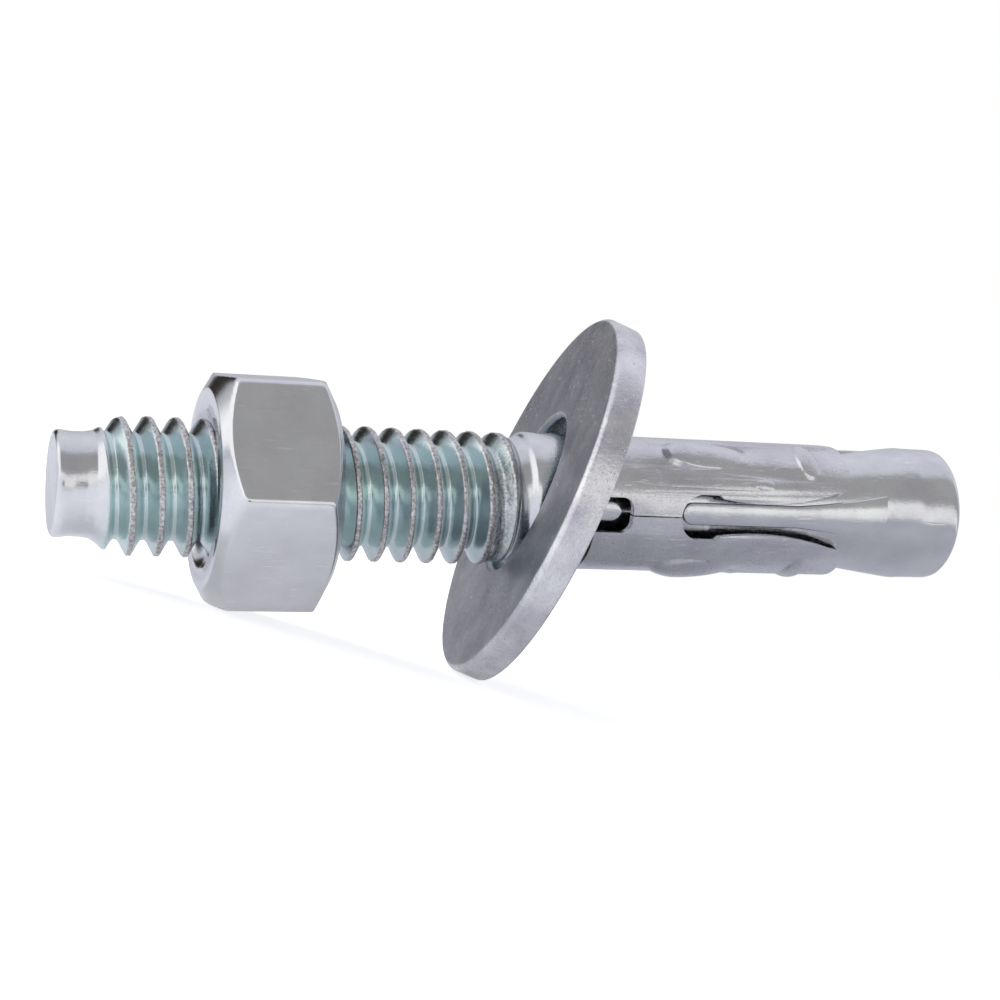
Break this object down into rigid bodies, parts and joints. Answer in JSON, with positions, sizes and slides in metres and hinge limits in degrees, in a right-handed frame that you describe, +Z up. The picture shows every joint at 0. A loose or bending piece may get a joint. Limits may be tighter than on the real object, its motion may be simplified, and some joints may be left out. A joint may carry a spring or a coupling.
{
  "type": "wedge expansion anchor bolt",
  "caption": "Zinc-plated wedge expansion anchor bolt with a threaded stud, slotted spring clip, tilted washer and hex nut, lying at rest.",
  "frame": {"origin": "middle of the bounding box's base, on the surface that the bolt lies on", "axes": "+X from the plain tip to the cone end, level; the stud's own axis rises from +X by the resting angle; +Z up"},
  "size_m": [0.0444, 0.0184, 0.0184],
  "materials": {
    "stud_steel": "bright zinc plated, rolled and turned",
    "clip_steel": "bright zinc plated, pressed sheet",
    "washer_steel": "zinc plated, stamped, finely mottled",
    "nut_steel": "bright zinc plated, smooth"
  },
  "bodies": {
    "stud": {"anchor_stud": "stud_steel", "expansion_clip": "clip_steel"},
    "washer": {"washer": "washer_steel"},
    "nut": {"hex_nut": "nut_steel"}
  },
  "joints": [
    {"name": "nut_run", "type": "slide", "parent": "stud", "child": "nut", "axis": [0.9677, 0, 0.2521], "range_m": [-0.00508, 0.00381]},
    {"name": "washer_slide", "type": "slide", "parent": "stud", "child": "washer", "axis": [0.9677, 0, 0.2521], "range_m": [-0.003, 0.003]}
  ]
}
